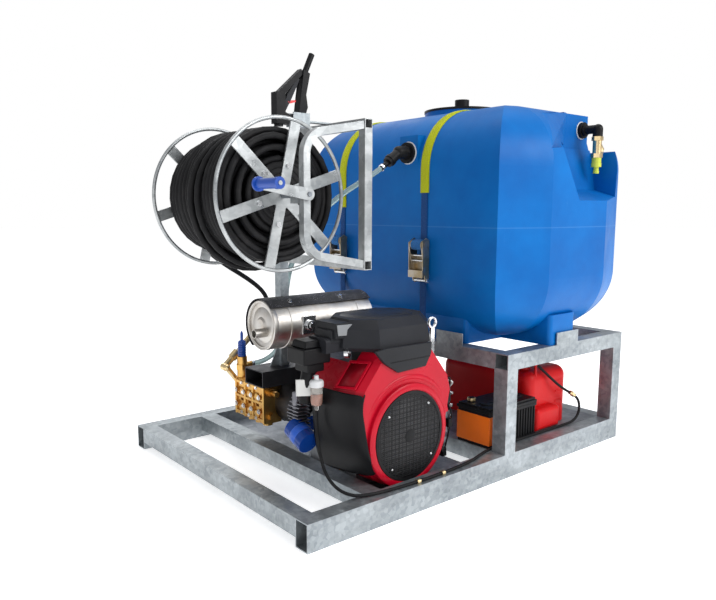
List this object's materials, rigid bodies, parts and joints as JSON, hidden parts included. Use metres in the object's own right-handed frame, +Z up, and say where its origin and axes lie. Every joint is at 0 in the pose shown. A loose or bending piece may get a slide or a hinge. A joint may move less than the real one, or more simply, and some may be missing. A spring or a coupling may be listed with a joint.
{
  "type": "pressure washer",
  "caption": "Skid-mounted petrol pressure washer with a water tank, hose reel, brass pump, trigger gun, battery and fuel can.",
  "frame": {"origin": "on the ground under the middle of the machine's bounding box", "axes": "+X along the side rails from the hose reel to the tank, +Y across the skid from the fan side to the far rail, +Z up"},
  "size_m": [1.51, 1.032, 1.2338],
  "materials": {
    "galvanised": "satin",
    "tank_blue": "satin",
    "black_rubber": "matte",
    "black_plastic": "satin",
    "grey_plastic": "satin",
    "engine_red": "glossy",
    "cast_alloy": "rough",
    "bright_steel": "polished",
    "dark_steel": "satin",
    "pump_brass": "satin",
    "filter_blue": "glossy",
    "clear_plastic": "glossy",
    "can_red": "satin",
    "lime_plastic": "glossy",
    "clear_hose": "glossy",
    "strap_fabric": "matte",
    "grip_blue": "glossy",
    "latch_red": "glossy"
  },
  "bodies": {
    "skid": {"side_rails": "galvanised", "cross_tubes": "galvanised", "tray_plates": "galvanised", "stand_posts": "galvanised", "stand_top_frame": "galvanised", "reel_beam": "galvanised", "reel_post": "galvanised", "cage_frame": "galvanised", "bearing_brackets": "galvanised", "gun_holder": "galvanised", "water_tank": "tank_blue", "bulkhead_fittings": "black_plastic", "y_strainer": "pump_brass", "quick_connector": "lime_plastic", "tank_straps": "strap_fabric", "ratchet_frames": "galvanised", "crankcase": "cast_alloy", "cylinders": "cast_alloy", "fan_shroud": "engine_red", "fan_grille": "dark_steel", "side_shroud": "black_plastic", "air_cleaner_base": "black_plastic", "air_cleaner_cover": "grey_plastic", "muffler": "bright_steel", "heat_shield": "dark_steel", "oil_filter": "filter_blue", "starter_motor": "dark_steel", "fuel_filter": "clear_plastic", "gearbox": "dark_steel", "pump_crankcase": "dark_steel", "pump_head": "pump_brass", "pump_caps": "pump_brass", "unloader": "pump_brass", "hose_fittings": "pump_brass", "battery": "black_plastic", "fuel_can": "can_red", "fuel_coupling": "pump_brass", "feed_hose": "black_rubber", "return_hose": "clear_hose", "fuel_hose": "black_rubber", "reel_swivel": "pump_brass"},
    "reel": {"reel_shaft": "galvanised", "reel_rims": "galvanised", "reel_spokes": "galvanised", "spoke_bolts": "galvanised", "reel_drum": "galvanised", "hose_coil": "black_rubber", "crank_arm": "galvanised"},
    "crank_grip": {"crank_handle": "grip_blue"},
    "gun": {"gun_body": "black_plastic"},
    "trigger": {"gun_trigger": "grey_plastic"},
    "latch": {"gun_latch": "latch_red"},
    "lid": {"tank_lid": "black_plastic"},
    "fuel_cap": {"can_cap": "black_plastic"},
    "ratchet_front": {"ratchet_handle_front": "galvanised"},
    "ratchet_rear": {"ratchet_handle_rear": "galvanised"},
    "engine_shaft": {"crankshaft": "bright_steel", "flywheel_fan": "cast_alloy"},
    "pump_drive": {"pump_shaft": "bright_steel"},
    "pressure_knob": {"unloader_knob": "filter_blue"}
  },
  "joints": [
    {"name": "reel_turn", "type": "hinge", "parent": "skid", "child": "reel", "pos_m": [-0.557, -0.106, 0.857], "axis": [0, 1, 0], "continuous": true},
    {"name": "crank_grip_spin", "type": "hinge", "parent": "reel", "child": "crank_grip", "pos_m": [-0.70554, -0.446, 0.87788], "axis": [0, 1, 0], "continuous": true},
    {"name": "gun_lift", "type": "slide", "parent": "skid", "child": "gun", "axis": [0, 0, 1], "range_m": [0, 0.15]},
    {"name": "trigger_squeeze", "type": "hinge", "parent": "gun", "child": "trigger", "pos_m": [-0.511, -0.214, 1.078], "axis": [0, 1, 0], "range_deg": [0, 5], "stiffness_Nm_per_rad": 1.5, "springref_deg": -11.46},
    {"name": "latch_flip", "type": "hinge", "parent": "trigger", "child": "latch", "pos_m": [-0.4955, -0.214, 1.1], "axis": [0, 1, 0], "range_deg": [-40, 0]},
    {"name": "lid_lift", "type": "slide", "parent": "skid", "child": "lid", "axis": [0, 0, 1], "range_m": [0, 0.25]},
    {"name": "fuel_cap_lift", "type": "slide", "parent": "skid", "child": "fuel_cap", "axis": [0, 0, 1], "range_m": [0, 0.05]},
    {"name": "ratchet_front_open", "type": "hinge", "parent": "skid", "child": "ratchet_front", "pos_m": [0.0639, -0.154, 0.707], "axis": [0, 1, 0], "range_deg": [0, 120]},
    {"name": "ratchet_rear_open", "type": "hinge", "parent": "skid", "child": "ratchet_rear", "pos_m": [0.0639, 0.267, 0.707], "axis": [0, 1, 0], "range_deg": [0, 120]},
    {"name": "engine_turn", "type": "hinge", "parent": "skid", "child": "engine_shaft", "pos_m": [-0.241, -0.246, 0.195], "axis": [0, 1, 0], "continuous": true},
    {"name": "pump_turn", "type": "hinge", "parent": "skid", "child": "pump_drive", "pos_m": [-0.30608, 0.004, 0.206], "axis": [0, 1, 0], "continuous": true},
    {"name": "pressure_adjust", "type": "hinge", "parent": "skid", "child": "pressure_knob", "pos_m": [-0.395, 0.208, 0.36], "axis": [0, 0, 1], "range_deg": [-180, 180]}
  ],
  "couplings": [
    {"joint": "pump_turn", "follows": "engine_turn", "ratio": -0.43478}
  ]
}
